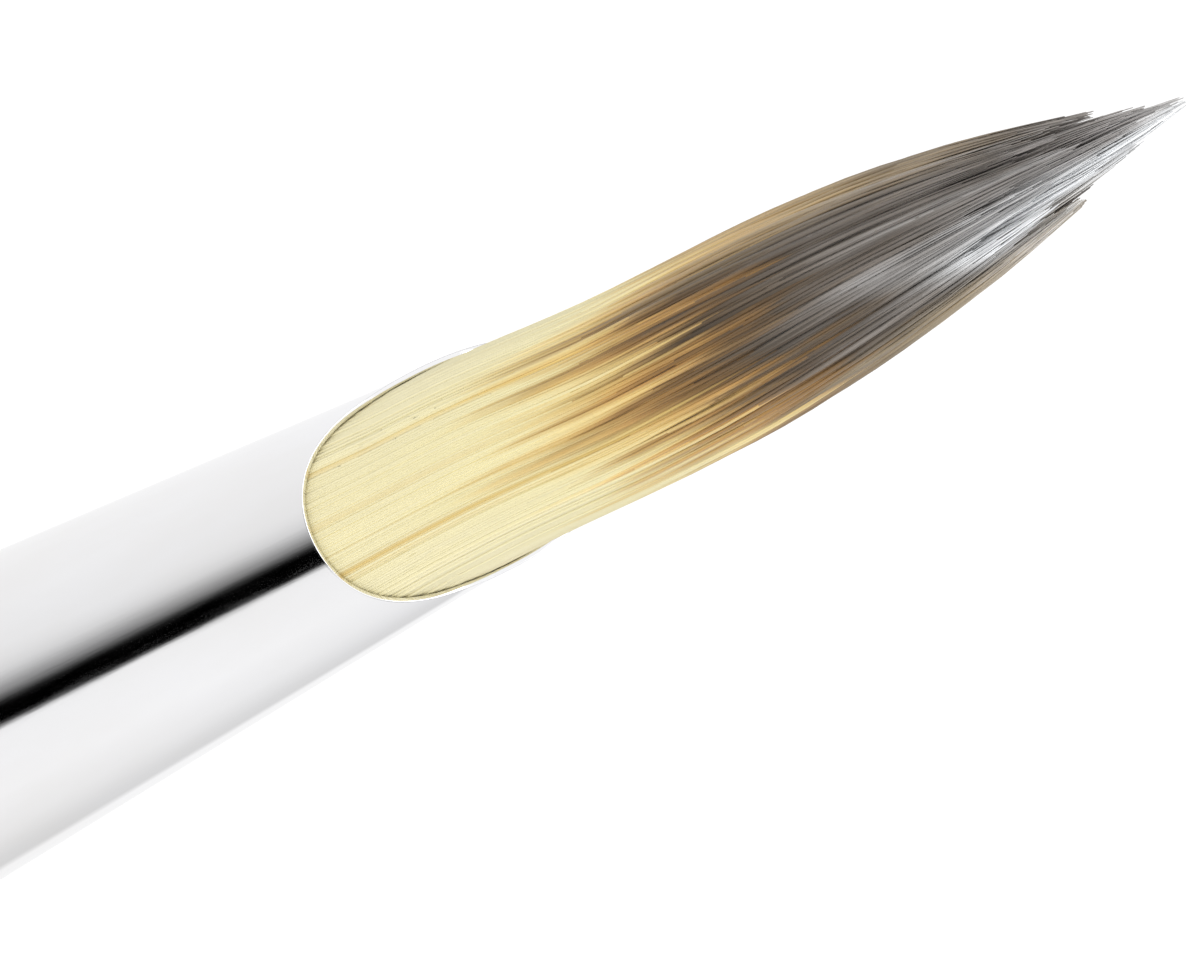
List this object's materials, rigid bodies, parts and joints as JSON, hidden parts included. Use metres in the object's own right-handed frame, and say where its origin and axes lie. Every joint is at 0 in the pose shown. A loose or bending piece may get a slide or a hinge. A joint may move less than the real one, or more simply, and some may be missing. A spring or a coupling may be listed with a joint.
{
  "type": "fine detail brush",
  "caption": "Round fine detail brush: pointed hair tuft set in a tapered metal ferrule with a slanting mouth, crimped on a slim turned handle.",
  "frame": {"origin": "the grip point: on the brush's axis, in the middle of the handle's belly", "axes": "+Z along the brush's axis towards the point of the hair; -Y is the open side of the ferrule's slanting mouth; +X to the right of it"},
  "size_m": [0.0066, 0.0066, 0.1672],
  "materials": {
    "lacquered_wood": "gloss lacquer over turned hardwood",
    "nickel": "polished nickel plate",
    "hair": "natural animal hair, cream at the root and charcoal at the point",
    "thread": "waxed linen thread",
    "resin": "cured amber resin",
    "cement": "set cement"
  },
  "bodies": {
    "root": {"binding_thread": "thread", "ferrule": "nickel", "hair_core": "hair", "hair_inner_1": "hair", "hair_inner_2": "hair", "hair_inner_3": "hair", "hair_inner_4": "hair", "hair_inner_5": "hair", "hair_inner_6": "hair", "hair_outer_01": "hair", "hair_outer_02": "hair", "hair_outer_03": "hair", "hair_outer_04": "hair", "hair_outer_05": "hair", "hair_outer_06": "hair", "hair_outer_07": "hair", "hair_outer_08": "hair", "hair_outer_09": "hair", "hair_outer_10": "hair", "hair_outer_11": "hair", "hair_outer_12": "hair", "handle": "lacquered_wood", "handle_cement": "cement", "root_resin": "resin"}
  },
  "joints": []
}
